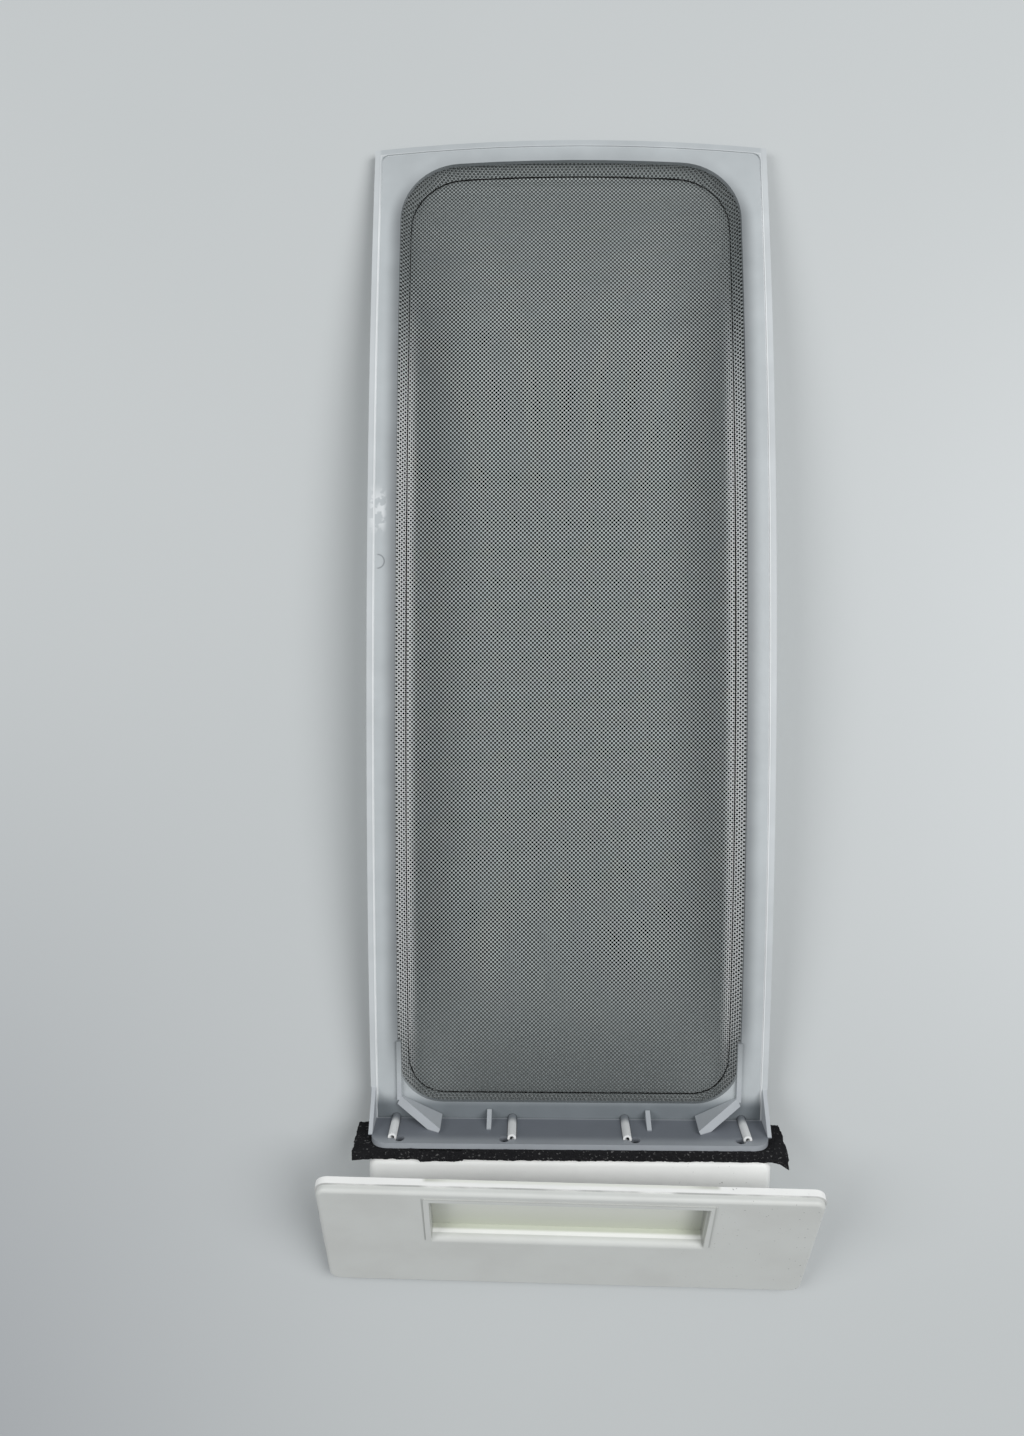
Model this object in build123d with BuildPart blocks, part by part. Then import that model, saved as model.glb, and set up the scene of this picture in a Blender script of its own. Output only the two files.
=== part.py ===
"""Lint filter of a tumble dryer: arched mesh tray, felt seal and white pull handle.

Lies as it comes to rest: X runs across, Y from the handle to the far end, Z up.
"""
import os
from math import asin, atan2, cos, degrees, hypot, radians, sin, sqrt

from build123d import *

os.makedirs("parts", exist_ok=True)

# Layout, millimetres and degrees
frame_length = 352.4
frame_width = 141.0
handle_reach = 61.9
arch_rise = 19.8
crown_share = 0.526
end_bow_radius = 630.0

# Frame section
rim_thickness = 2.4
rim_depth = 3.0
skirt_thickness = 1.8
lip_height = 0.5
lip_width = 2.2
lip_corner_radius = 3.0

# Mesh screen
mesh_side_margin = 9.7
mesh_far_margin = 7.8
mesh_front_margin = 5.9
mesh_near_radius = 16.0
mesh_far_radius = 22.0
mesh_thickness = 0.5
mesh_depth = 3.0
mesh_side_band = 3.3
mesh_near_band = 2.0
mesh_far_band = 4.0
mesh_flange = 1.0
mesh_corner_ease = 0.5
gap_side = 6.0
gap_columns = 3
gap_rows = 11
thread_width = 1.2
thread_height = 0.4

# Front wall, its stays, ribs and fins, and the holes beside the pins
wall_thickness = 2.0
wall_height = 17.0
wall_side_gap = 1.5
wall_corner_radius = 6.0
stay_thickness = 3.2
stay_side_margin = 10.2
stay_start_reach = 7.2
stay_slant = 14.5
stay_low = 1.2
stay_high = 10.5
ridge_length = 22.0
ridge_height = 0.5
rib_share = 0.4
rib_thickness = 1.6
rib_reach = 3.6
rib_height = 8.5
fin_reach = 12.0
fin_height = 12.0
fin_thickness = 1.4
sight_hole_diameter = 3.6
sight_hole_height = 14.0
sight_hole_shift = 2.6

# Slotted pins
pin_inner_share = 0.284
pin_side_margin = 8.9
pin_diameter = 3.0
pin_bore = 1.5
pin_slit = 0.8
pin_height = 13.4
pin_bore_depth = 6.0
pin_slit_turn = 25.0
pin_clearance = 0.15
pin_headroom = 0.6

# Felt seal
felt_overhang = 4.5
felt_height = 17.6
felt_thickness = 3.8

# Handle
plate_overhang = 14.5
plate_height = 60.2
plate_lean = 37.8
plate_skew = 1.03
plate_shift = -0.9
plate_corner_radius = 4.5
backing_thickness = 2.5
fascia_thickness = 2.5
fascia_inset = 0.6
fascia_edge_radius = 1.4
neck_side_gap = 1.0
neck_height = 16.6
neck_wall = 2.2
neck_ground_gap = 1.4
neck_corner_radius = 4.0
neck_edge_radius = 2.6
tongue_thickness = 1.6
tongue_gap = 0.9
tongue_side_gap = 1.2
tongue_clearance = 0.1

# Finger pocket in the handle
pocket_width = 93.6
pocket_height = 24.0
pocket_foot = 30.7
pocket_depth = 5.8
pocket_wall = 1.3
pocket_lip_radius = 2.0
bezel_width = 1.8
bezel_height = 0.35
tick_side_margin = 3.0
tick_thickness = 0.9
tick_height = 2.2
tick_length = 7.0

# Places that follow from the sizes
overall_length = frame_length + handle_reach
far_y = overall_length / 2
wall_y = far_y - frame_length
crown_reach = crown_share * frame_length
crown_y = far_y - crown_reach
skirt_radius = (crown_reach**2 + arch_rise**2) / (2 * arch_rise)
arch_radius = skirt_radius + rim_depth
arch_z = arch_rise - skirt_radius
front_angle = asin((crown_y - wall_y) / arch_radius)
floor_z = arch_z + arch_radius * cos(front_angle)
half_width = frame_width / 2
wall_width = frame_width - 2 * wall_side_gap
felt_width = frame_width + 2 * felt_overhang
neck_width = frame_width - 2 * neck_side_gap
plate_width = frame_width + 2 * plate_overhang
pin_x_inner = pin_inner_share * half_width
pin_x_outer = half_width - pin_side_margin
rib_x = rib_share * half_width
stay_start_x = half_width - stay_side_margin
stay_end_x = stay_start_x - stay_slant
tick_x = pocket_width / 2 - tick_side_margin
mesh_half_width = half_width - mesh_side_margin
mesh_near_y = wall_y + mesh_front_margin
mesh_far_y = far_y - mesh_far_margin
gap_step_x = 2 * mesh_half_width / (gap_columns + 1)
gap_step_y = (mesh_far_y - mesh_near_y) / gap_rows
plate_thickness = backing_thickness + fascia_thickness
bow_y = far_y - end_bow_radius
tongue_reach = mesh_front_margin - mesh_flange - tongue_gap
tongue_width = frame_width - 2 * (skirt_thickness + tongue_side_gap)
tongue_length = tongue_reach + wall_thickness + felt_thickness + neck_wall / 2
crown_z = arch_z + arch_radius
beyond_wall_y = wall_y - frame_width

# Planes at the front: on the wall local Y climbs, on the floor it leads to the mesh
inward = Vector(0, cos(front_angle), sin(front_angle))
upward = Vector(0, -sin(front_angle), cos(front_angle))
wall_foot = Vector(0, wall_y, floor_z)
wall_plane = Plane(origin=wall_foot, x_dir=(1, 0, 0), z_dir=-inward)
floor_plane = Plane(origin=wall_foot, x_dir=(1, 0, 0), z_dir=upward)
felt_plane = wall_plane.offset(wall_thickness)
neck_plane = felt_plane.offset(felt_thickness)

# Handle plate: local Y climbs its face, its rear foot edge stands on the ground
lean = radians(plate_lean)
skew = radians(plate_skew)
edge_reach = fascia_edge_radius * (cos(lean) + sin(lean) - 1) + fascia_inset * cos(lean)
skew_reach = (plate_width / 2 - plate_corner_radius) * sin(skew)
plate_foot = Vector(
    plate_shift - plate_height / 2 * cos(lean) * sin(skew),
    -overall_length / 2 - edge_reach + skew_reach,
    plate_thickness * cos(lean),
)
across = Vector(cos(skew), -sin(skew), 0)
outward = Vector(-sin(lean) * sin(skew), -sin(lean) * cos(skew), cos(lean))
face_plane = Plane(origin=plate_foot, x_dir=across, z_dir=outward)
mouth_plane = Plane(origin=plate_foot, x_dir=face_plane.y_dir, z_dir=across)
backing_plane = face_plane.offset(-fascia_thickness)
rear_plane = face_plane.offset(-plate_thickness)


def bowed_outline(half, near_y, far_edge_y, near_radius, far_radius):
    """Plan outline with straight sides and a far edge bowed about one centre."""
    far_corner_y = bow_y + sqrt((far_edge_y - bow_y) ** 2 - half**2)
    with BuildSketch(Plane.XY.offset(-rim_depth)) as outline:
        with BuildLine():
            Polyline((-half, far_corner_y), (-half, near_y), (half, near_y), (half, far_corner_y))
            ThreePointArc((half, far_corner_y), (0, far_edge_y), (-half, far_corner_y))
        make_face()
        if near_radius > 0:
            fillet(outline.vertices().group_by(Axis.Y)[0], radius=near_radius)
        if far_radius > 0:
            fillet(outline.vertices().group_by(Axis.Y)[-1], radius=far_radius)
    return outline.sketch


def arched_block(outer_radius, inner_radius, plan):
    """Part of the arched shell between two radii that lies above a plan outline."""
    with BuildPart() as block:
        with BuildSketch(Plane.YZ):
            with Locations((crown_y, arch_z)):
                Circle(outer_radius)
                Circle(inner_radius, mode=Mode.SUBTRACT)
        extrude(amount=overall_length, both=True)
        add(plan)
        extrude(amount=2 * crown_z, mode=Mode.INTERSECT)
    return block.part


def upright_plane(start, end):
    """Upright plane along a line on the floor, with its length."""
    foot = floor_plane.from_local_coords(Vector(*start, 0))
    along = floor_plane.from_local_coords(Vector(*end, 0)) - foot
    return Plane(origin=foot, x_dir=along, z_dir=along.cross(upward)), along.length


# Translucent frame: arched rim with lip and skirt, then the front wall and what stays it
rim_plan = bowed_outline(half_width, wall_y - wall_thickness / 2, far_y, 0, 0)
lip_plan = bowed_outline(half_width - lip_width, beyond_wall_y, far_y - lip_width, 0, lip_corner_radius)
skirt_plan = bowed_outline(
    half_width - skirt_thickness, beyond_wall_y, far_y - skirt_thickness, 0, lip_corner_radius
)
mesh_plan = bowed_outline(mesh_half_width, mesh_near_y, mesh_far_y, mesh_near_radius, mesh_far_radius)
pin_spots = [(x, 0) for x in (-pin_x_outer, -pin_x_inner, pin_x_inner, pin_x_outer)]
sight_x = (pin_x_outer - sight_hole_shift, pin_x_inner + sight_hole_shift)
sight_spots = [(side * x, sight_hole_height) for side in (-1, 1) for x in sight_x]
fin_x = half_width - lip_width / 2


def web(start, end, low, high, thickness):
    """Web that stands on the floor along a line and rises towards the wall."""
    plane, length = upright_plane(start, end)
    root = -rim_thickness / 2
    with BuildPart() as upright:
        with BuildSketch(plane):
            with BuildLine():
                Polyline((0, root), (length, root), (length, high), (0, low), close=True)
            make_face()
        extrude(amount=thickness / 2, both=True)
    return upright.part


with BuildPart() as filter_frame:
    add(arched_block(arch_radius + lip_height, arch_radius - rim_depth, rim_plan))
    add(arched_block(arch_radius + 2 * lip_height, arch_radius, lip_plan), mode=Mode.SUBTRACT)
    under_rim = arched_block(arch_radius - rim_thickness, arch_radius - 2 * rim_depth, skirt_plan)
    add(under_rim, mode=Mode.SUBTRACT)
    opening = arched_block(arch_radius + lip_height, arch_radius - rim_depth, mesh_plan)
    add(opening, mode=Mode.SUBTRACT)
    # Wall with two rounded upper corners and a hole beside each pin
    with BuildSketch(wall_plane) as wall_face:
        with Locations((0, (wall_height - rim_thickness) / 2)):
            Rectangle(wall_width, wall_height + rim_thickness)
        fillet(wall_face.vertices().group_by(Axis.Y)[-1], radius=wall_corner_radius)
        with Locations(*sight_spots):
            Circle(sight_hole_diameter / 2, mode=Mode.SUBTRACT)
    extrude(amount=wall_thickness)
    # Diagonal stays, short ribs and edge fins against the wall
    for side in (-1, 1):
        stay_start = (side * stay_start_x, stay_start_reach)
        add(web(stay_start, (side * stay_end_x, 0), stay_low, stay_high, stay_thickness))
        ridge_end = (side * stay_start_x, stay_start_reach + ridge_length)
        add(web(ridge_end, stay_start, ridge_height, stay_low, rib_thickness))
        add(web((side * rib_x, rib_reach), (side * rib_x, 0), 0, rib_height, rib_thickness))
        add(web((side * fin_x, fin_reach), (side * fin_x, 0), lip_height, fin_height, fin_thickness))
    with BuildSketch(floor_plane.offset(-2 * rim_depth)):
        with Locations(*pin_spots):
            Circle(pin_diameter / 2 + pin_clearance)
    extrude(amount=2 * rim_depth + pin_height + pin_headroom, mode=Mode.SUBTRACT)
filter_frame.part.label = "filter_frame"
export_step(filter_frame.part, "parts/filter_frame.step")

# Mesh screen: tray with sloping sides and a woven floor, flanged under the rim
tray_top = arch_radius - rim_thickness
tray_middle_y = (mesh_near_y + mesh_far_y) / 2
arch_axis = Axis((0, crown_y, arch_z), (1, 0, 0))
bow_axis = Axis((0, bow_y, 0), (0, 0, 1))
half_sweep = 30.0
sweep_aim = Vector(0, -cos(radians(half_sweep)), -sin(radians(half_sweep)))
sweep_plane = Plane(origin=arch_axis.position, x_dir=(1, 0, 0), z_dir=sweep_aim)


def band_wall(band):
    """Width in plan of the sloping sheet on a band."""
    return mesh_thickness * hypot(mesh_depth, band) / mesh_depth


def band_line(edge_y, band):
    """Two points in the YZ plane on an end's sloping band, well above and below it."""
    slope = asin((edge_y - crown_y) / tray_top)
    rim_point = Vector(edge_y, arch_z + tray_top * cos(slope))
    down = Vector(-sin(slope), -cos(slope)) * mesh_depth
    across = Vector(cos(slope), -sin(slope)) * band
    reach = (down + across) * 3
    return rim_point - reach, rim_point + reach


def tray_block(sheet, top_radius):
    """Solid that fills the tray, with its sides and floor moved in by a share of the sheet."""
    side_inset = sheet * band_wall(mesh_side_band)
    near_inset = sheet * band_wall(mesh_near_band)
    far_inset = sheet * band_wall(mesh_far_band)
    half = mesh_half_width - side_inset
    ease_radius = mesh_corner_ease * sqrt(2) / (sqrt(2) - 1)
    roof_z = 2 * crown_z
    with BuildPart() as block:
        with BuildSketch(sweep_plane):
            with BuildLine():
                Polyline(
                    (-half - mesh_side_band, tray_top + mesh_depth),
                    (-half + mesh_side_band, tray_top - mesh_depth),
                    (half - mesh_side_band, tray_top - mesh_depth),
                    (half + mesh_side_band, tray_top + mesh_depth),
                    close=True,
                )
            make_face()
        revolve(axis=arch_axis, revolution_arc=-2 * half_sweep)
        # Straight near end
        high, low = band_line(mesh_near_y + near_inset, mesh_near_band)
        with BuildSketch(Plane.YZ):
            with BuildLine():
                Polyline(high, low, (far_y, low.Y), (far_y, roof_z), (high.X, roof_z), close=True)
            make_face()
        extrude(amount=frame_width, both=True, mode=Mode.INTERSECT)
        # Bowed far end
        high, low = band_line(mesh_far_y - far_inset, -mesh_far_band)
        with BuildSketch(Plane.YZ):
            with BuildLine():
                Polyline(high, low, (bow_y, low.Y), (bow_y, roof_z), (high.X, roof_z), close=True)
            make_face()
        revolve(axis=bow_axis, mode=Mode.INTERSECT)
        # Rounded corners, cut upright; the ease keeps the cut clear of the straight sides
        corner_cut = bowed_outline(
            half + mesh_corner_ease,
            mesh_near_y + near_inset - mesh_corner_ease,
            mesh_far_y - far_inset + mesh_corner_ease,
            mesh_near_radius - side_inset + ease_radius,
            mesh_far_radius - side_inset + ease_radius,
        )
        add(corner_cut)
        extrude(amount=roof_z, mode=Mode.INTERSECT)
        with BuildSketch(Plane.YZ):
            with Locations((crown_y, arch_z)):
                Circle(top_radius)
                Circle(tray_top - mesh_depth + sheet * mesh_thickness, mode=Mode.SUBTRACT)
        extrude(amount=frame_width, both=True, mode=Mode.INTERSECT)
    return block.part


def thread_plan(angle):
    """Narrow strips across the tray floor, between every second two rows of gaps."""
    with BuildSketch(Plane.XY.offset(-rim_depth)) as strips:
        add(floor_plan)
        with BuildSketch(mode=Mode.INTERSECT):
            with Locations(Location((gap_step_x / 2, tray_middle_y, 0), (0, 0, angle))):
                with GridLocations(thread_step, 1, gap_rows, 1):
                    Rectangle(thread_width, overall_length)
    return strips.sketch


thread_angle = degrees(atan2(gap_step_x, gap_step_y))
thread_step = 2 * gap_step_x * cos(radians(thread_angle))
floor_plan = bowed_outline(
    mesh_half_width - mesh_side_band - mesh_flange,
    mesh_near_y + mesh_near_band + mesh_flange,
    mesh_far_y - mesh_far_band - mesh_flange,
    mesh_near_radius - mesh_near_band,
    mesh_far_radius - mesh_far_band,
)
flange_plan = bowed_outline(
    mesh_half_width + mesh_flange,
    mesh_near_y - mesh_flange,
    mesh_far_y + mesh_flange,
    mesh_near_radius + mesh_flange,
    mesh_far_radius + mesh_flange,
)
with BuildPart() as mesh_screen:
    add(arched_block(tray_top, tray_top - mesh_thickness, flange_plan))
    add(tray_block(0, tray_top))
    add(tray_block(1, tray_top + mesh_depth), mode=Mode.SUBTRACT)
    with BuildSketch(Plane.XY.offset(-2 * rim_depth)):
        with Locations((0, tray_middle_y)):
            with GridLocations(gap_step_x, gap_step_y, gap_columns, gap_rows):
                Rectangle(gap_side, gap_side, rotation=45)
            with GridLocations(gap_step_x, gap_step_y, gap_columns + 1, gap_rows - 1):
                Rectangle(gap_side, gap_side, rotation=45)
    extrude(amount=2 * crown_z, mode=Mode.SUBTRACT)
    floor_top = tray_top - mesh_depth + mesh_thickness
    for angle in (-thread_angle, thread_angle):
        add(arched_block(floor_top + thread_height, floor_top - mesh_thickness / 2, thread_plan(angle)))
mesh_screen.part.label = "mesh_screen"
export_step(mesh_screen.part, "parts/mesh_screen.step")

# Felt seal: a strip between the wall and the neck, wider than both
with BuildPart() as felt_seal:
    with BuildSketch(felt_plane):
        with Locations((0, felt_height / 2)):
            Rectangle(felt_width, felt_height)
    extrude(amount=felt_thickness)
felt_seal.part.label = "felt_seal"
export_step(felt_seal.part, "parts/felt_seal.step")

# Slotted pins: they stand in the floor and the tongue, slit towards the wall
pin_root = rim_thickness + tongue_clearance + tongue_thickness
pin_turns = (-1, 1, -1, 1)
with BuildPart() as slotted_pins:
    with BuildSketch(floor_plane.offset(-pin_root)):
        with Locations(*pin_spots):
            Circle(pin_diameter / 2)
    extrude(amount=pin_root + pin_height)
    with BuildSketch(floor_plane.offset(pin_height)):
        with Locations(*pin_spots):
            Circle(pin_bore / 2)
        for spot, turn in zip(pin_spots, pin_turns):
            with Locations(Location((*spot, 0), (0, 0, turn * -pin_slit_turn))):
                Rectangle(pin_slit, pin_diameter, align=(Align.CENTER, Align.MAX))
    extrude(amount=-pin_bore_depth, mode=Mode.SUBTRACT)
slotted_pins.part.label = "slotted_pins"
export_step(slotted_pins.part, "parts/slotted_pins.step")

# Side profile of the neck, from the felt to the middle of the backing plate
pocket_middle = pocket_foot + pocket_height / 2
middle_plane = backing_plane.offset(-backing_thickness / 2)


def on_plate(plane, point):
    """Where a line from a point along the neck meets a plane of the handle plate."""
    travel = (plane.origin - point).dot(plane.z_dir) / inward.dot(plane.z_dir)
    return point + inward * travel


def neck_section(inset, foot_z, plane):
    """Corners of the neck in the YZ plane, moved in by a wall, down to a height."""
    felt_side = neck_plane.origin - inward * inset
    top = felt_side + upward * (neck_height - inset)
    foot = felt_side + upward * ((foot_z - felt_side.Z) / upward.Z)
    plate_top = on_plate(plane, top)
    plate_foot_point = plane.origin + plane.y_dir * ((foot_z - plane.origin.Z) / plane.y_dir.Z)
    return [(point.Y, point.Z) for point in (top, foot, plate_foot_point, plate_top)]


with BuildPart() as handle_body:
    # Neck with rounded upper edges
    with BuildSketch(Plane.YZ):
        with BuildLine():
            Polyline(*neck_section(0, neck_ground_gap, middle_plane), close=True)
        make_face()
    extrude(amount=neck_width / 2, both=True)
    felt_face = handle_body.faces().sort_by(Axis.Y)[-1]
    fillet(felt_face.edges().filter_by(Axis.X, reverse=True), radius=neck_corner_radius)
    roof = handle_body.faces().sort_by(Axis(wall_foot, upward))[-1]
    fillet(roof.edges().sort_by(Axis.Y)[1:], radius=neck_edge_radius)
    # Backing plate and the shell of the finger pocket
    with BuildSketch(backing_plane):
        with Locations((0, plate_height / 2)):
            RectangleRounded(plate_width, plate_height, plate_corner_radius)
    extrude(amount=-backing_thickness)
    with BuildSketch(backing_plane):
        with Locations((0, pocket_middle)):
            Rectangle(pocket_width + 2 * pocket_wall, pocket_height + 2 * pocket_wall)
    extrude(amount=fascia_thickness - pocket_depth - pocket_wall)
    # Tongue under the floor of the frame
    with BuildSketch(floor_plane.offset(-rim_thickness - tongue_clearance)):
        with Locations((0, tongue_reach)):
            Rectangle(tongue_width, tongue_length, align=(Align.CENTER, Align.MAX))
    extrude(amount=-tongue_thickness)
    # Hollow of the neck, open below, and the pocket itself
    with BuildSketch(Plane.YZ):
        with BuildLine():
            Polyline(*neck_section(neck_wall, -neck_height, rear_plane), close=True)
        make_face()
    extrude(amount=neck_width / 2 - neck_wall, both=True, mode=Mode.SUBTRACT)
    with BuildSketch(backing_plane):
        with Locations((0, pocket_middle)):
            Rectangle(pocket_width, pocket_height)
    extrude(amount=fascia_thickness - pocket_depth, mode=Mode.SUBTRACT)
    # Short ribs under the pocket's upper edge, and holes for the pins
    with BuildSketch(face_plane.offset(-pocket_depth)):
        with Locations((-tick_x, pocket_foot + pocket_height), (tick_x, pocket_foot + pocket_height)):
            Rectangle(tick_thickness, tick_length, align=(Align.CENTER, Align.MAX))
    extrude(amount=tick_height)
    with BuildSketch(floor_plane):
        with Locations(*pin_spots):
            Circle(pin_diameter / 2 + pin_clearance)
    extrude(amount=-2 * pin_root, mode=Mode.SUBTRACT)
handle_body.part.label = "handle_body"
export_step(handle_body.part, "parts/handle_body.step")

# Fascia: rounded plate on the backing, with a bezel round the pocket's mouth
with BuildPart() as handle_fascia:
    with BuildSketch(backing_plane):
        with Locations((0, plate_height / 2)):
            RectangleRounded(
                plate_width - 2 * fascia_inset,
                plate_height - 2 * fascia_inset,
                plate_corner_radius - fascia_inset,
            )
    extrude(amount=fascia_thickness)
    front_face = handle_fascia.faces().sort_by(Axis(plate_foot, face_plane.z_dir))[-1]
    fillet(front_face.edges(), radius=fascia_edge_radius)
    with BuildSketch(face_plane):
        with Locations((0, pocket_foot)):
            Rectangle(
                pocket_width + 2 * bezel_width,
                pocket_height + bezel_width,
                align=(Align.CENTER, Align.MIN),
            )
    extrude(amount=bezel_height)
    # Mouth of the pocket with a rounded lower lip
    lip_v = pocket_foot - pocket_lip_radius
    lip_turn = pocket_lip_radius * cos(radians(45))
    pocket_top = pocket_foot + pocket_height
    with BuildSketch(mouth_plane):
        with BuildLine():
            ThreePointArc(
                (lip_v, 0),
                (lip_v + lip_turn, lip_turn - pocket_lip_radius),
                (pocket_foot, -pocket_lip_radius),
            )
            Polyline(
                (pocket_foot, -pocket_lip_radius),
                (pocket_foot, -2 * fascia_thickness),
                (pocket_top, -2 * fascia_thickness),
                (pocket_top, 2 * bezel_height),
                (lip_v, 2 * bezel_height),
                (lip_v, 0),
            )
        make_face()
    extrude(amount=pocket_width / 2, both=True, mode=Mode.SUBTRACT)
handle_fascia.part.label = "handle_fascia"
export_step(handle_fascia.part, "parts/handle_fascia.step")
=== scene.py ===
"""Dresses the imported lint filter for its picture: woven tray, felt, plastics, table and camera."""

from math import asin, ceil, cos, hypot, pi, radians, sin, sqrt

import bmesh
import bpy
from mathutils import Matrix, Vector, noise

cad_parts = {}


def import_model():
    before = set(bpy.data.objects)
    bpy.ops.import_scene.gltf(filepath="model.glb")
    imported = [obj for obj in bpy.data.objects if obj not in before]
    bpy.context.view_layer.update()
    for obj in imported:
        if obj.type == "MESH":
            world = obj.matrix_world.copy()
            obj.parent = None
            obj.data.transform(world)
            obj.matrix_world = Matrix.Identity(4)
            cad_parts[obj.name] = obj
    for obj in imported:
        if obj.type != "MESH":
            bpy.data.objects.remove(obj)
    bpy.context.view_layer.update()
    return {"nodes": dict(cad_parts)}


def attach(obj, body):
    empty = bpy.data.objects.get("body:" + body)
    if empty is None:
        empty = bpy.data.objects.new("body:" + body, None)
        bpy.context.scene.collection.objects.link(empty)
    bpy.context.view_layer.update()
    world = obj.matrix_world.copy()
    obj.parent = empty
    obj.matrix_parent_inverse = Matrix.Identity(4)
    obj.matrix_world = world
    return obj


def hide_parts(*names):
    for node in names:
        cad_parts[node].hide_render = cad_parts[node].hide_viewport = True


bl_info = {
    "name": "Lint Filter",
    "version": (1, 0, 0),
    "blender": (4, 5, 0),
    "location": "View3D > Sidebar > Lint Filter",
    "description": "Woven tray, felt, plastics and stage of a tumble dryer lint filter",
    "category": "Object",
}

MM = 0.001

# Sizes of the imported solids, in millimetres
FRAME_LENGTH = 352.4
HALF_WIDTH = 70.5
FAR_Y = 207.15
WALL_Y = FAR_Y - FRAME_LENGTH
ARCH_RISE = 19.8
CROWN_REACH = 0.526 * FRAME_LENGTH
CROWN_Y = FAR_Y - CROWN_REACH
RIM_THICKNESS = 2.4
RIM_DEPTH = 3.0
BOW_RADIUS = 630.0
TRAY_HALF = HALF_WIDTH - 9.7
TRAY_NEAR_Y = WALL_Y + 5.9
TRAY_FAR_Y = FAR_Y - 7.8
TRAY_NEAR_CORNER = 16.0
TRAY_FAR_CORNER = 22.0
TRAY_DEPTH = 3.0
SIDE_BAND = 3.3
NEAR_BAND = 2.0
FAR_BAND = 4.0
WALL_THICKNESS = 2.0

SKIRT_RADIUS = (CROWN_REACH**2 + ARCH_RISE**2) / (2 * ARCH_RISE)
ARCH_RADIUS = SKIRT_RADIUS + RIM_DEPTH
ARCH_Z = ARCH_RISE - SKIRT_RADIUS
TRAY_TOP = ARCH_RADIUS - RIM_THICKNESS
TRAY_MIDDLE_Y = (TRAY_NEAR_Y + TRAY_FAR_Y) / 2
TRAY_HALF_LENGTH = (TRAY_FAR_Y - TRAY_NEAR_Y) / 2
SLOPE = asin((CROWN_Y - WALL_Y) / ARCH_RADIUS)
FLOOR_Z = ARCH_Z + ARCH_RADIUS * cos(SLOPE)
INWARD = Vector((0, cos(SLOPE), sin(SLOPE)))
UPWARD = Vector((0, -sin(SLOPE), cos(SLOPE)))
WALL_FOOT = Vector((0, WALL_Y, FLOOR_Z))

# Handle plate: a point of its face, the ways out of it and up it, and the pocket's middle
PLATE_LEAN = radians(37.8)
PLATE_SKEW = radians(1.03)
PLATE_FOOT = Vector((-1.33, -206.74, 3.95))
PLATE_INWARD = Vector((sin(PLATE_SKEW), cos(PLATE_SKEW), 0))
PLATE_OUT = Vector((0, 0, cos(PLATE_LEAN))) - PLATE_INWARD * sin(PLATE_LEAN)
PLATE_UP = Vector((0, 0, sin(PLATE_LEAN))) + PLATE_INWARD * cos(PLATE_LEAN)
POCKET_X = -1.0

# Weave, in millimetres: threads, the thread along the fold, and how the threads vary
WEAVE_PITCH = 1.03
THREAD_LIFT = 0.06
TUBE_CORNERS = 3
TABLE_CLEARANCE = 0.02
CREASE_LIFT = 0.32
CREASE_RADIUS = 0.36
SCAN_STEP = 0.45
FOLD_STEP = 0.9
FOLD_END = 1.6
FOLD_TOLERANCE = 0.01
NEAR_CLOG = 0.1
NEAR_CLOG_LENGTH = 45.0
FAR_CLOG = 0.05
FAR_CLOG_LENGTH = 70.0
STRAIN = 0.05
STRAINED_FOLD = 1.1
STRAINED_Y = 150.0
UNDERSIDE_NORMAL = -0.2

# Felt: seed of its wool, cuts along each axis, ears past the wall's ends, a stretch that leans
FELT_SEED = 5
FELT_CUTS = ((0, 260), (2, 32), (1, 6))
FINE_WOOL = 2.1
FINE_SHARE = 0.7
COARSE_WOOL = 0.45
FLAT_SHARE = 0.4
EAR_START = HALF_WIDTH - 1.5
EAR_LENGTH = 5.5
LEFT_EAR_SHARE = 0.3
LEANING_X = (-52.0, -37.0)
LEAN = 0.7

# Pale patch and ring-shaped mark on the frame's left side, in millimetres
LEFT_MARKS_X = -67.0
PALE_PATCH_Y = 70.0
MARK_Y = 52.0
MARK_RADIUS = 2.4

# Stage: name, place, size and power of each light, in metres and watts, then the rest
LIGHTS = (
    ("key", (0.80, 0.25, 1.24), 1.05, 14.5),
    ("fill", (-1.0, 0.20, 1.12), 0.9, 8.3),
)
SKY = (0.95, 0.98, 1.0)
SKY_STRENGTH = 0.34
TABLE_SIZE = 1.6
SENSOR_HEIGHT = 36.0
CLIP_START = 0.01

# Colours of the frame and its wall, with painted shade and painted light among them
FRAME_TONE = (0.435, 0.465, 0.48)
FRAME_BORDER_SHADE = (0.20, 0.215, 0.225)
FRAME_EDGE_HIGHLIGHT = (0.56, 0.585, 0.60)
FRAME_PALE = (0.74, 0.76, 0.77)
FRAME_MARK = (0.12, 0.13, 0.14)
FRAME_FLOOR_SHADE = (0.165, 0.185, 0.20)
FRAME_WEB = (0.42, 0.445, 0.47)
WALL_LOW = (0.165, 0.18, 0.205)
WALL_HIGH = (0.30, 0.32, 0.345)

# Colours of the pins and the handle, with painted shade among them
PIN_TONE = (0.80, 0.81, 0.81)
PIN_GRIME = (0.74, 0.75, 0.75)
PIN_FOOT_SHADE = (0.20, 0.22, 0.24)
BODY_TONE = (0.88, 0.885, 0.87)
BODY_GRIME = (0.84, 0.845, 0.83)
FASCIA_TONE = (0.635, 0.65, 0.63)
FASCIA_GRIME = (0.60, 0.61, 0.59)
SEAM_TONE = (0.36, 0.37, 0.36)
POCKET_HIGH = (0.75, 0.765, 0.71)
POCKET_LOW_SHADE = (0.56, 0.585, 0.50)
POCKET_CORNER_SHADE = (0.36, 0.37, 0.32)
POCKET_END_SHADE = (0.34, 0.35, 0.33)
NECK_SHADE = (0.33, 0.34, 0.33)
BEZEL_EDGE_SHADE = (0.42, 0.43, 0.41)
SPECK_TONE = (0.12, 0.12, 0.12)
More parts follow.
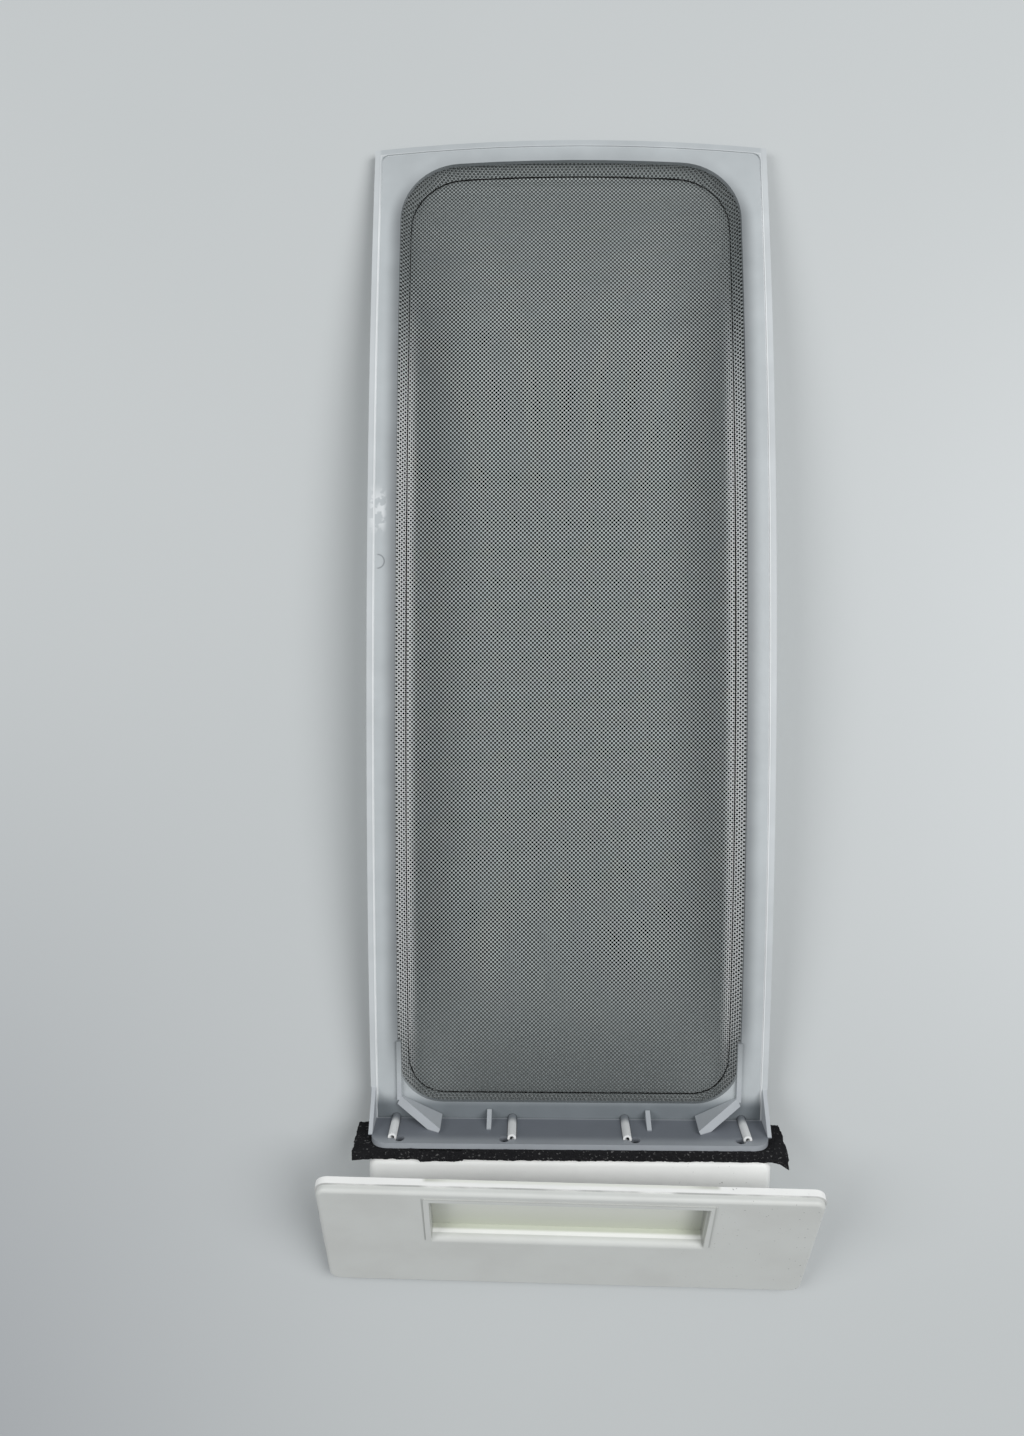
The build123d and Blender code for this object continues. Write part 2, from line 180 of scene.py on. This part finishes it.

# Colours of the threads, the felt and the table, with painted light and painted shade among them
THREAD_OPENING_LIGHT = (0.79, 0.86, 0.85)
THREAD_DULL = (0.21, 0.225, 0.225)
THREAD_FLANK_SHADE = (0.40, 0.43, 0.43)
THREAD_EDGE_LIGHT = (0.97, 0.97, 0.97)
THREAD_UNDER = (0.84, 0.93, 0.93)
CROSSING_DARK = (0.003, 0.004, 0.004)
CROSSING_DULL = (0.075, 0.082, 0.082)
CREASE_FOLD_SHADE = (0.010, 0.010, 0.010)
FELT_DEEP = (0.003, 0.003, 0.004)
FELT_HIGH = (0.022, 0.022, 0.024)
LINT_TONE = (0.15, 0.15, 0.15)
TABLE_TONE = (0.505, 0.53, 0.535)
TABLE_CLOUD = (0.53, 0.55, 0.555)
TABLE_LEFT_SHADE = (0.34, 0.355, 0.375)
TABLE_RIGHT_LIGHT = (0.60, 0.625, 0.635)


def tray_fold(x, y):
    """Way in from the tray's outline, as a share that is 1 at the fold and in millimetres."""
    bow = BOW_RADIUS - (FAR_Y - TRAY_FAR_Y)
    far = y > TRAY_MIDDLE_Y
    sag = bow - sqrt(bow * bow - x * x) if far else 0.0
    corner = TRAY_FAR_CORNER if far else TRAY_NEAR_CORNER
    across = abs(x) - (TRAY_HALF - corner)
    along = abs(y + sag - TRAY_MIDDLE_Y) - (TRAY_HALF_LENGTH - corner)
    beyond = hypot(max(across, 0.0), max(along, 0.0))
    inset = corner - beyond - min(max(across, along), 0.0)
    share = max(along, 0.0) ** 2 / beyond**2 if beyond > 0 else 0.0
    band = SIDE_BAND + share * ((FAR_BAND if far else NEAR_BAND) - SIDE_BAND)
    return inset / band, inset


def tray_point(x, y, lift):
    """Point on the tray's cloth over a place in plan, in millimetres."""
    drop = TRAY_DEPTH * min(max(tray_fold(x, y)[0], 0.0), 1.0)
    reach = TRAY_TOP - drop + lift
    return Vector((x, y, ARCH_Z + sqrt(reach * reach - (y - CROWN_Y) ** 2)))


class Field:
    """A socket of a shader tree that can be used in sums."""

    def __init__(self, tree, socket):
        self.tree = tree
        self.socket = socket

    def node(self, kind, inputs, output=0, **settings):
        """Adds a node, sets it up, feeds it and returns one of its outputs."""
        made = self.tree.nodes.new(kind)
        for name, value in settings.items():
            setattr(made, name, value)
        for key, value in inputs.items():
            if isinstance(value, Field):
                self.tree.links.new(value.socket, made.inputs[key])
            else:
                made.inputs[key].default_value = value
        return Field(self.tree, made.outputs[output])

    def math(self, operation, *values):
        """Result of one operation on fields or numbers."""
        return self.node("ShaderNodeMath", dict(enumerate(values)), operation=operation)

    def __add__(self, other):
        return self.math("ADD", self, other)

    def __sub__(self, other):
        return self.math("SUBTRACT", self, other)

    def __mul__(self, other):
        return self.math("MULTIPLY", self, other)

    def __rsub__(self, other):
        return self.math("SUBTRACT", other, self)

    def __abs__(self):
        return self.math("ABSOLUTE", self)

    def at_least(self, other):
        return self.math("MAXIMUM", self, other)

    def at_most(self, other):
        return self.math("MINIMUM", self, other)

    def root(self):
        return self.math("SQRT", self)

    def cosine(self):
        return self.math("COSINE", self)

    def ramp(self, low, high):
        """Rises smoothly from 0 at the low value to 1 at the high one."""
        inputs = {"Value": self, "From Min": low, "From Max": high}
        return self.node("ShaderNodeMapRange", inputs, interpolation_type="SMOOTHSTEP")

    def blend(self, low, high):
        """Colour between two, by this field from 0 to 1."""
        inputs = {0: self, 6: colour(low), 7: colour(high)}
        return self.node("ShaderNodeMix", inputs, 2, data_type="RGBA")

    def scaled(self, factor):
        """This colour, made lighter or darker by a factor."""
        return self.node("ShaderNodeVectorMath", {0: self, 3: factor}, operation="SCALE")


def colour(value):
    """A colour as a node input takes it."""
    return value if isinstance(value, Field) else (*value, 1.0)


def material(name):
    """New material with its principled shader and its place in millimetres."""
    made = bpy.data.materials.new(name)
    made.use_nodes = True
    tree = made.node_tree
    shader = next(n for n in tree.nodes if n.type == "BSDF_PRINCIPLED")
    start = Field(tree, None)
    place = start.node("ShaderNodeTexCoord", {}, "Object")
    scale = {0: place, 1: (1 / MM,) * 3}
    place = start.node("ShaderNodeVectorMath", scale, operation="MULTIPLY")
    return made, shader, place


def parts(place):
    """The three coordinates of a place."""
    return [place.node("ShaderNodeSeparateXYZ", {0: place}, axis) for axis in "XYZ"]


def feed(shader, **values):
    """Feeds fields or constants to the shader's sockets."""
    for name, value in values.items():
        socket = shader.inputs[name.replace("_", " ")]
        if isinstance(value, Field):
            value.tree.links.new(value.socket, socket)
        else:
            socket.default_value = value


def speckle(place, size, detail=2.0):
    """Noise from 0 to 1 with features of about this size in millimetres."""
    inputs = {"Vector": place, "Scale": 1 / size, "Detail": detail}
    return place.node("ShaderNodeTexNoise", inputs)


def bump(place, height, distance):
    """Normal that shows a height field as relief, in millimetres."""
    inputs = {"Height": height, "Distance": distance * MM, "Strength": 1.0}
    return place.node("ShaderNodeBump", inputs, "Normal")


def new_object(name, shape, finish):
    """Object made of a bmesh, riding on the filter with its finish."""
    data = bpy.data.meshes.new(name)
    shape.to_mesh(data)
    shape.free()
    data.materials.append(finish)
    made = bpy.data.objects.new(name, data)
    bpy.context.scene.collection.objects.link(made)
    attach(made, "root")
    return made


def dress(context, name, finish):
    """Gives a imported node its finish."""
    node = context.scene.objects.get(name)
    if node is None:
        raise RuntimeError(f"the node {name} is missing")
    node.material_slots[0].material = finish


def tube_ring(shape, centre, side, radius, first):
    """Corners of a tube round a point, from the first angle on and clear of the table."""
    ring = []
    for corner in range(TUBE_CORNERS):
        angle = first + corner * 2 * pi / TUBE_CORNERS
        offset = side * cos(angle) + Vector((0, 0, 1)) * sin(angle)
        spot = centre + offset * radius
        spot.z = max(spot.z, TABLE_CLEARANCE)
        ring.append(shape.verts.new(spot * MM))
    return ring


def join_rings(shape, low, high):
    """Walls of a tube between two of its rings."""
    for corner in range(TUBE_CORNERS):
        other = (corner + 1) % TUBE_CORNERS
        shape.faces.new((low[corner], low[other], high[other], high[corner]))


def plate_reach(place, way):
    """Way from the foot of the handle plate's face in one direction, in millimetres."""
    inputs = {0: place, 1: way}
    reach = place.node("ShaderNodeVectorMath", inputs, "Value", operation="DOT_PRODUCT")
    return reach - PLATE_FOOT.dot(way)


def wall_reach(place):
    """Way from the wall's face over the floor, and height above the floor, in millimetres."""
    _, y, z = parts(place)
    inward = (y - WALL_Y) * cos(SLOPE) + (z - FLOOR_Z) * sin(SLOPE)
    height = (z - FLOOR_Z) * cos(SLOPE) - (y - WALL_Y) * sin(SLOPE)
    return inward, height


def milky_plastic():
    """Translucent frame: darker where the mesh and the felt show through, with painted shade along
    the mesh and on the floor before the wall, and painted light along the outer edge.
    """
    made, shader, place = material("milky_plastic")
    x, y, _ = parts(place)
    inward, height = wall_reach(place)
    cloud = speckle(place, 9.0)
    bow = x * x * (0.5 / BOW_RADIUS)
    # Border along the mesh, darker partly where the mesh shows through and partly from painted
    # shade; painted highlight on the bead and painted light on the lip along the outer edge
    across = abs(x) - (TRAY_HALF - TRAY_FAR_CORNER)
    along = y + bow - (TRAY_FAR_Y - TRAY_FAR_CORNER)
    beyond_x = across.at_least(0.0)
    beyond_y = along.at_least(0.0)
    beyond = (beyond_x * beyond_x + beyond_y * beyond_y).root()
    within = across.at_least(along).at_most(0.0)
    rim = beyond + within - TRAY_FAR_CORNER
    border_shade = rim.ramp(5.5, -0.2) * (y - TRAY_NEAR_Y).ramp(4.0, 30.0)
    border_shade = border_shade * (TRAY_FAR_Y - y).ramp(-6.0, 25.0).at_least(0.25)
    base = border_shade.blend(FRAME_TONE, FRAME_BORDER_SHADE)
    edge = HALF_WIDTH - abs(x)
    base = (edge.ramp(2.6, 1.2) * 0.6).blend(base, FRAME_EDGE_HIGHLIGHT)
    edge = edge.at_most(FAR_Y - y - bow)
    lip = edge.ramp(2.7, 2.4) * edge.ramp(1.8, 2.1)
    lip = lip * ((TRAY_FAR_Y - y).ramp(0.0, 30.0) * 0.65 + 0.35)
    base = lip.blend(base, FRAME_PALE)
    base = base.scaled(speckle(place, 45.0) * 0.22 + 0.9)
    # Pale patch and a small ring-shaped mark on the left side
    marks_x = x - LEFT_MARKS_X
    pale_patch = abs(y - PALE_PATCH_Y).ramp(10.0, 3.0) * abs(marks_x).ramp(3.5, 1.5)
    pale_patch = pale_patch * speckle(place, 3.0).ramp(0.45, 0.55)
    base = (pale_patch * 0.6).blend(base, FRAME_PALE)
    mark_y = y - MARK_Y
    ring = (marks_x * marks_x + mark_y * mark_y).root()
    mark = abs(ring - MARK_RADIUS).ramp(0.35, 0.12) * marks_x.ramp(-0.5, 0.5)
    base = (mark * 0.6).blend(base, FRAME_MARK)
    # Painted shade on the floor in front of the wall; the wall, dark with the felt behind it and
    # lighter towards its top; and the webs between them
    floor = inward.ramp(10.0, 4.0) * height.ramp(0.6, 0.2)
    base = floor.blend(base, FRAME_FLOOR_SHADE)
    web = inward.ramp(18.0, 10.0) * height.ramp(0.3, 0.9)
    base = web.blend(base, FRAME_WEB)
    wall = inward.ramp(0.35, 0.05) * height.ramp(0.1, 1.4)
    base = wall.blend(base, height.ramp(11.0, 16.2).blend(WALL_LOW, WALL_HIGH))
    base = base.scaled(cloud * 0.16 + 0.92)
    relief = bump(place, speckle(place, 2.5), 0.06)
    feed(shader, Base_Color=base, Roughness=cloud * 0.2 + 0.3, Normal=relief)
    feed(shader, Specular_IOR_Level=0.45)
    return made


def white_plastic(name, base, shade):
    """Opaque moulded plastic with faint grime; returns its shader, place and tone too."""
    made, shader, place = material(name)
    cloud = speckle(place, 22.0, 4.0)
    fine = speckle(place, 0.7, 1.0)
    tone = cloud.ramp(0.35, 0.7).blend(base, shade)
    relief = bump(place, fine, 0.02)
    feed(shader, Roughness=cloud * 0.15 + 0.38, Normal=relief)
    return made, shader, place, tone


def pin_finish():
    """White pins, with painted shade at the foot."""
    made, shader, place, tone = white_plastic("pin_plastic", PIN_TONE, PIN_GRIME)
    height = wall_reach(place)[1]
    feed(shader, Base_Color=height.ramp(1.5, 6.0).blend(PIN_FOOT_SHADE, tone))
    return made


def handle_finish(name, base, shade):
    """White handle with a dim seam, a greenish pocket with painted shade at its lower edge, corners
    and ends, painted shade on the bezel, worn specks and shade behind the plate.
    """
    made, shader, place, tone = white_plastic(name, base, shade)
    x, _, _ = parts(place)
    out = plate_reach(place, PLATE_OUT)
    up = plate_reach(place, PLATE_UP)
    aside = abs(x - POCKET_X)
    front = out.ramp(-6.4, -6.0)
    # Seam between the two plates, seen along the upper edge and the ends
    rim = up.ramp(57.5, 58.5).at_least(abs(x).ramp(81.0, 83.0))
    seam = out.ramp(-2.75, -2.55) * out.ramp(-2.25, -2.45) * rim
    seam = seam * speckle(place, 14.0).ramp(0.3, 0.6)
    tone = (seam * 0.75).blend(tone, SEAM_TONE)
    # Back of the pocket, greener towards its lower edge, with painted shade there and in its corners
    pocket = out.ramp(-3.4, -4.6) * front * abs(x).ramp(50.0, 48.0)
    pocket_shade = up.ramp(46.0, 32.0).blend(POCKET_HIGH, POCKET_LOW_SHADE)
    pocket_shade = (aside.ramp(38.0, 46.5) * 0.5).blend(pocket_shade, POCKET_CORNER_SHADE)
    tone = pocket.blend(tone, pocket_shade)
    # Painted shade on the ends of the pocket and on the sides of the bezel round it
    height = up.ramp(29.5, 30.5) * up.ramp(57.0, 56.0)
    end = aside.ramp(46.1, 46.5) * aside.ramp(48.2, 47.8) * out.ramp(-0.2, -0.8) * front
    end = end + abs(aside - 48.7).ramp(0.4, 0.15) * out.ramp(-0.3, -0.1)
    tone = (end * height * 0.6).blend(tone, POCKET_END_SHADE)
    # Neck where it runs in behind the plate
    neck = out.ramp(-12.0, -6.5) * out.ramp(-5.0, -5.6)
    neck = neck * up.ramp(30.0, 36.0) * abs(x).ramp(90.0, 48.0) * (1.0 - pocket)
    tone = (neck * 0.55).blend(tone, NECK_SHADE)
    # Painted shade on the upper edge of the bezel, and specks on the right
    bezel = up.ramp(56.2, 56.4) * up.ramp(56.9, 56.6) * out.ramp(0.0, 0.05)
    tone = (bezel * 0.8).blend(tone, BEZEL_EDGE_SHADE)
    speck = speckle(place, 1.0, 1.0).ramp(0.745, 0.775) * x.ramp(20.0, 80.0)
    tone = (speck * 0.8).blend(tone, SPECK_TONE)
    feed(shader, Base_Color=tone)
    return made


def thread_finish():
    """Polyester thread, black at its crossings, with painted light beside the openings, dull near
    the wall, and painted shade along the fold.
    """
    made, shader, place = material("mesh_thread")
    under = place.node("ShaderNodeAttribute", {}, "Fac", attribute_name="under")
    crease = place.node("ShaderNodeAttribute", {}, "Fac", attribute_name="on_fold")
    x, y, _ = parts(place)
    beat = 2 * pi / (WEAVE_PITCH * sqrt(2))
    rising = (x + y - TRAY_MIDDLE_Y) * beat
    falling = (y - x - TRAY_MIDDLE_Y) * beat
    aside = TRAY_HALF - abs(x)
    beyond = TRAY_FAR_Y - y
    # Painted light in bright bands along the two long sides, painted shade on the dimmer flanks
    # beside them
    edge = aside.ramp(7.5, 3.5) * abs(y).ramp(165.0, 90.0)
    flank_shade = aside.ramp(32.0, 10.0) * (1.0 - edge)
    # Black at the crossings, painted light beside the openings between them
    crossing = rising.cosine() + falling.cosine()
    crossing = (crossing - edge * 0.3).ramp(-0.40, 0.05)
    # Contrast of the painted light beside the openings, gone near the wall and less at the far end
    vigour = (y - TRAY_NEAR_Y).ramp(2.0, 60.0) * (beyond.ramp(0.0, 80.0) * 0.55 + 0.45)
    pale = vigour.blend(THREAD_DULL, THREAD_OPENING_LIGHT)
    pale = (flank_shade * 0.7).blend(pale, THREAD_FLANK_SHADE)
    pale = edge.blend(pale, THREAD_EDGE_LIGHT)
    dark = vigour.blend(CROSSING_DULL, CROSSING_DARK)
    tone = crossing.blend(pale, dark)
    tone = under.blend(tone, THREAD_UNDER)
    # Dark crease along the fold, partly the folded cloth and partly painted shade
    tone = crease.blend(tone, CREASE_FOLD_SHADE)
    feed(shader, Base_Color=tone, Roughness=edge * 0.1 + 0.6)
    feed(shader, Specular_IOR_Level=0.1)
    return made


def felt_finish():
    """Black needled felt with pale specks of lint."""
    made, shader, place = material("black_felt")
    wool = speckle(place, 0.5, 4.0)
    lint = speckle(place, 0.9, 3.0).ramp(0.61, 0.70)
    tone = wool.blend(FELT_DEEP, FELT_HIGH)
    tone = (lint * 0.8).blend(tone, LINT_TONE)
    relief = bump(place, wool, 0.6)
    feed(shader, Base_Color=tone, Normal=relief)
    feed(shader, Roughness=0.95, Specular_IOR_Level=0.15)
    return made


def table_finish():
    """Pale table, with painted shade to the near left and painted light to the right."""
    made, shader, place = material("pale_table")
    cloud = speckle(place, 140.0, 3.0)
    x, y, _ = parts(place)
    tone = cloud.blend(TABLE_TONE, TABLE_CLOUD)
    # Painted shade to the near left
    left_shade = x.ramp(-20.0, -300.0) * y.ramp(120.0, -300.0)
    tone = (left_shade * 0.95).blend(tone, TABLE_LEFT_SHADE)
    # Painted light to the right
    right_light = x.ramp(40.0, 200.0) * abs(y).ramp(220.0, 40.0)
    tone = (right_light * 0.6).blend(tone, TABLE_RIGHT_LIGHT)
    feed(shader, Base_Color=tone, Roughness=cloud * 0.1 + 0.55)
    return made


class WeaveSettings(bpy.types.PropertyGroup):
    """Sizes of the woven cloth, in millimetres."""

    thread: bpy.props.FloatProperty(name="Thread", default=0.55, min=0.1)
    step: bpy.props.FloatProperty(name="Floor step", default=12.0, min=1.0)
    hem: bpy.props.FloatProperty(name="Hem under the rim", default=0.8, min=0.0)


class FeltSettings(bpy.types.PropertyGroup):
    """Sizes of the felt strip, in millimetres."""

    width: bpy.props.FloatProperty(name="Width", default=150.0)
    height: bpy.props.FloatProperty(name="Height", default=17.6)
    thickness: bpy.props.FloatProperty(name="Thickness", default=3.8)
    fuzz: bpy.props.FloatProperty(name="Roughness of the edge", default=0.45)
    curl: bpy.props.FloatProperty(name="Curl of the ears", default=2.3)


class StageSettings(bpy.types.PropertyGroup):
    """Camera: its place in millimetres and its turn in degrees."""

    focal: bpy.props.FloatProperty(name="Focal length", default=28.32)
    place: bpy.props.FloatVectorProperty(name="Place", default=(-13.8, -3.25, 412.0))
    yaw: bpy.props.FloatProperty(name="Yaw", default=0.95)
    pitch: bpy.props.FloatProperty(name="Pitch", default=0.17)
    roll: bpy.props.FloatProperty(name="Roll", default=0.14)


class LINTFILTER_OT_frame(bpy.types.Operator):
    """Finishes the translucent frame."""

    bl_idname = "lintfilter.frame"
    bl_label = "Frame"

    def execute(self, context):
        dress(context, "filter_frame", milky_plastic())
        return {"FINISHED"}


class LINTFILTER_OT_weave(bpy.types.Operator):
    """Weaves the tray from two families of threads."""

    bl_idname = "lintfilter.weave"
    bl_label = "Mesh tray"

    def execute(self, context):
        sizes = context.scene.lintfilter_weave
        shape = bmesh.new()
        under = shape.faces.layers.float.new("under")
        on_fold = shape.verts.layers.float.new("on_fold")
        reach = (TRAY_HALF + TRAY_HALF_LENGTH) / sqrt(2)
        count = ceil(reach / WEAVE_PITCH)
        for turn in (-1, 1):
            along = Vector((1, turn)) / sqrt(2)
            across = Vector((-turn, 1)) / sqrt(2)
            for index in range(-count, count + 1):
                offset = index * WEAVE_PITCH
                start = Vector((0, TRAY_MIDDLE_Y)) + across * offset
                line = self.run(start, along, reach, sizes)
                if len(line) > 2:
                    self.thread(shape, line, turn * THREAD_LIFT, sizes.thread / 2)
        for vert in self.crease(shape):
            vert[on_fold] = 1.0
        bmesh.ops.recalc_face_normals(shape, faces=shape.faces)
        shape.normal_update()
        for face in shape.faces:
            face[under] = 1.0 if face.normal.z < UNDERSIDE_NORMAL else 0.0
        made = new_object("mesh_weave", shape, thread_finish())
        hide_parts("mesh_screen")
        width = 2 * (TRAY_HALF + sizes.hem)
        length = 2 * (TRAY_HALF_LENGTH + sizes.hem)
        flat = (width * MM, length * MM)
        return {"FINISHED"}

    def crease(self, shape):
        """Closed dark thread that lies along the fold round the tray's floor, partly the folded
        cloth and partly painted shade; returns its corners.
        """
        rings = []
        for degree in range(360):
            angle = radians(degree)
            away = Vector((cos(angle), sin(angle)))
            near, far = 0.0, TRAY_HALF + TRAY_HALF_LENGTH
            while far - near > FOLD_TOLERANCE:
                half = (near + far) / 2
                if tray_fold(away.x * half, TRAY_MIDDLE_Y + away.y * half)[0] > 1:
                    near = half
                else:
                    far = half
            centre = tray_point(away.x * near, TRAY_MIDDLE_Y + away.y * near, CREASE_LIFT)
            side = Vector((away.x, away.y, 0))
            rings.append(tube_ring(shape, centre, side, CREASE_RADIUS, pi / 2))
        for low, high in zip(rings, rings[1:] + rings[:1]):
            join_rings(shape, low, high)
        return [vert for ring in rings for vert in ring]

    def run(self, start, along, reach, sizes):
        """Places in plan along one thread, close together where the cloth folds."""
        line = []
        last = None
        far = -1.5 * reach
        while far < 1.5 * reach:
            spot = start + along * far
            share, inset = tray_fold(spot.x, spot.y)
            if inset > -sizes.hem:
                gap = sizes.step if share > FOLD_END else FOLD_STEP
                if last is None or far - last >= gap:
                    line.append(spot)
                    last = far
            far += SCAN_STEP
        return line

    def swell(self, spot):
        """Share of a thread's full width: strained thin on the side bands, clogged at both ends."""
        near = max(1 - (spot.y - TRAY_NEAR_Y) / NEAR_CLOG_LENGTH, 0.0)
        far = max(1 - (TRAY_FAR_Y - spot.y) / FAR_CLOG_LENGTH, 0.0)
        banded = tray_fold(spot.x, spot.y)[0] < STRAINED_FOLD
        strain = STRAIN if banded and abs(spot.y) < STRAINED_Y else 0.0
        return 1 + NEAR_CLOG * near + FAR_CLOG * far - strain

    def thread(self, shape, line, lift, radius):
        """Three-sided tube along the places of one thread, flat on top."""
        rings = []
        for index, spot in enumerate(line):
            before = line[max(index - 1, 0)]
            after = line[min(index + 1, len(line) - 1)]
            side = Vector((after.y - before.y, before.x - after.x, 0)).normalized()
            centre = tray_point(spot.x, spot.y, lift)
            girth = radius * self.swell(spot)
            rings.append(tube_ring(shape, centre, side, girth, -pi / 2))
        for low, high in zip(rings, rings[1:]):
            join_rings(shape, low, high)
        for ring in (rings[0], rings[-1]):
            shape.faces.new(ring)


class LINTFILTER_OT_felt(bpy.types.Operator):
    """Cuts the felt strip with rough edges and curled ears."""

    bl_idname = "lintfilter.felt"
    bl_label = "Felt seal"

    def execute(self, context):
        sizes = context.scene.lintfilter_felt
        noise.seed_set(FELT_SEED)
        shape = bmesh.new()
        bmesh.ops.create_cube(shape, size=1.0)
        box = (sizes.width, sizes.thickness, sizes.height)
        bmesh.ops.scale(shape, vec=box, verts=shape.verts)
        for axis, count in FELT_CUTS:
            ends = [(edge, edge.verts[0].co - edge.verts[1].co) for edge in shape.edges]
            long = [edge for edge, span in ends if abs(span[axis]) > 1.0]
            bmesh.ops.subdivide_edges(shape, edges=long, cuts=count, use_grid_fill=True)
        behind = WALL_THICKNESS + sizes.thickness / 2
        back = WALL_FOOT - INWARD * behind + UPWARD * (sizes.height / 2)
        for vert in shape.verts:
            wool = noise.noise_vector(vert.co * FINE_WOOL) * FINE_SHARE
            wool = wool + noise.noise_vector(vert.co * COARSE_WOOL)
            ear = max(0.0, abs(vert.co.x) - EAR_START) / EAR_LENGTH
            ear *= max(0.0, vert.co.z / sizes.height + 0.5)
            lean = sizes.curl * ear * ear * (1.0 if vert.co.x > 0 else LEFT_EAR_SHARE)
            if LEANING_X[0] < vert.co.x < LEANING_X[1] and vert.co.z > 0:
                lean += LEAN
            spot = vert.co + Vector((wool.x, FLAT_SHARE * wool.y, wool.z)) * sizes.fuzz
            aside = back + Vector((spot.x, 0, 0))
            vert.co = (aside + INWARD * (spot.y - lean) + UPWARD * spot.z) * MM
        bmesh.ops.recalc_face_normals(shape, faces=shape.faces)
        for face in shape.faces:
            face.smooth = True
        made = new_object("felt_strip", shape, felt_finish())
        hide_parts("felt_seal")
        return {"FINISHED"}


class LINTFILTER_OT_pins(bpy.types.Operator):
    """Finishes the slotted pins."""

    bl_idname = "lintfilter.pins"
    bl_label = "Pins"

    def execute(self, context):
        dress(context, "slotted_pins", pin_finish())
        return {"FINISHED"}


class LINTFILTER_OT_handle(bpy.types.Operator):
    """Finishes the handle's body and fascia."""

    bl_idname = "lintfilter.handle"
    bl_label = "Handle"

    def execute(self, context):
        body = handle_finish("body_plastic", BODY_TONE, BODY_GRIME)
        fascia = handle_finish("fascia_plastic", FASCIA_TONE, FASCIA_GRIME)
        dress(context, "handle_body", body)
        dress(context, "handle_fascia", fascia)
        return {"FINISHED"}


class LINTFILTER_OT_stage(bpy.types.Operator):
    """Sets up the table, the light and the camera."""

    bl_idname = "lintfilter.stage"
    bl_label = "Stage"

    def execute(self, context):
        scene = context.scene
        self.table(scene)
        for name, place, size, power in LIGHTS:
            self.light(scene, name, place, size, power)
        world = bpy.data.worlds.new("studio")
        world.use_nodes = True
        sky = world.node_tree.nodes["Background"]
        sky.inputs["Color"].default_value = (*SKY, 1.0)
        sky.inputs["Strength"].default_value = SKY_STRENGTH
        scene.world = world
        scene.view_settings.view_transform = "Standard"
        self.camera(scene)
        return {"FINISHED"}

    def table(self, scene):
        """Square table under the filter."""
        shape = bmesh.new()
        bmesh.ops.create_grid(shape, x_segments=1, y_segments=1, size=TABLE_SIZE)
        data = bpy.data.meshes.new("table")
        shape.to_mesh(data)
        shape.free()
        data.materials.append(table_finish())
        table = bpy.data.objects.new("table", data)
        scene.collection.objects.link(table)

    def light(self, scene, name, place, size, power):
        """Round area light that faces the origin."""
        lamp = bpy.data.lights.new(name, "AREA")
        lamp.shape = "DISK"
        lamp.size = size
        lamp.energy = power
        made = bpy.data.objects.new(name, lamp)
        made.location = place
        made.rotation_euler = (-Vector(place)).to_track_quat("-Z", "Y").to_euler()
        scene.collection.objects.link(made)

    def camera(self, scene):
        """Camera that looks down on the filter."""
        sizes = scene.lintfilter_stage
        lens = bpy.data.cameras.new("camera")
        lens.sensor_fit = "VERTICAL"
        lens.sensor_height = SENSOR_HEIGHT
        lens.lens = sizes.focal
        lens.clip_start = CLIP_START
        made = bpy.data.objects.new("camera", lens)
        turn = Matrix.Rotation(radians(sizes.yaw), 4, "Y")
        turn = turn @ Matrix.Rotation(radians(sizes.pitch), 4, "X")
        turn = turn @ Matrix.Rotation(radians(sizes.roll), 4, "Z")
        made.matrix_world = Matrix.Translation(Vector(sizes.place) * MM) @ turn
        scene.collection.objects.link(made)
        scene.camera = made


class LINTFILTER_PT_panel(bpy.types.Panel):
    """Buttons and sizes of the lint filter."""

    bl_idname = "LINTFILTER_PT_panel"
    bl_label = "Lint Filter"
    bl_space_type = "VIEW_3D"
    bl_region_type = "UI"
    bl_category = "Lint Filter"

    def draw(self, context):
        scene = context.scene
        for sizes in (scene.lintfilter_weave, scene.lintfilter_felt, scene.lintfilter_stage):
            box = self.layout.box()
            for name in sizes.__annotations__:
                box.prop(sizes, name)
        for operator in OPERATORS:
            self.layout.operator(operator.bl_idname)


SETTINGS = {
    "lintfilter_weave": WeaveSettings,
    "lintfilter_felt": FeltSettings,
    "lintfilter_stage": StageSettings,
}
OPERATORS = (
    LINTFILTER_OT_frame,
    LINTFILTER_OT_weave,
    LINTFILTER_OT_felt,
    LINTFILTER_OT_pins,
    LINTFILTER_OT_handle,
    LINTFILTER_OT_stage,
)


def register():
    for name, group in SETTINGS.items():
        bpy.utils.register_class(group)
        setattr(bpy.types.Scene, name, bpy.props.PointerProperty(type=group))
    for kind in (*OPERATORS, LINTFILTER_PT_panel):
        bpy.utils.register_class(kind)


def unregister():
    for kind in reversed((*OPERATORS, LINTFILTER_PT_panel)):
        bpy.utils.unregister_class(kind)
    for name, group in SETTINGS.items():
        delattr(bpy.types.Scene, name)
        bpy.utils.unregister_class(group)


def main():
    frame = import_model()
    if len(frame["nodes"]) != 6:
        raise RuntimeError("the packed filter has six nodes")
    register()
    bpy.ops.lintfilter.frame()
    bpy.ops.lintfilter.weave()
    bpy.ops.lintfilter.felt()
    bpy.ops.lintfilter.pins()
    bpy.ops.lintfilter.handle()
    bpy.ops.lintfilter.stage()


if __name__ == "__main__":
    main()
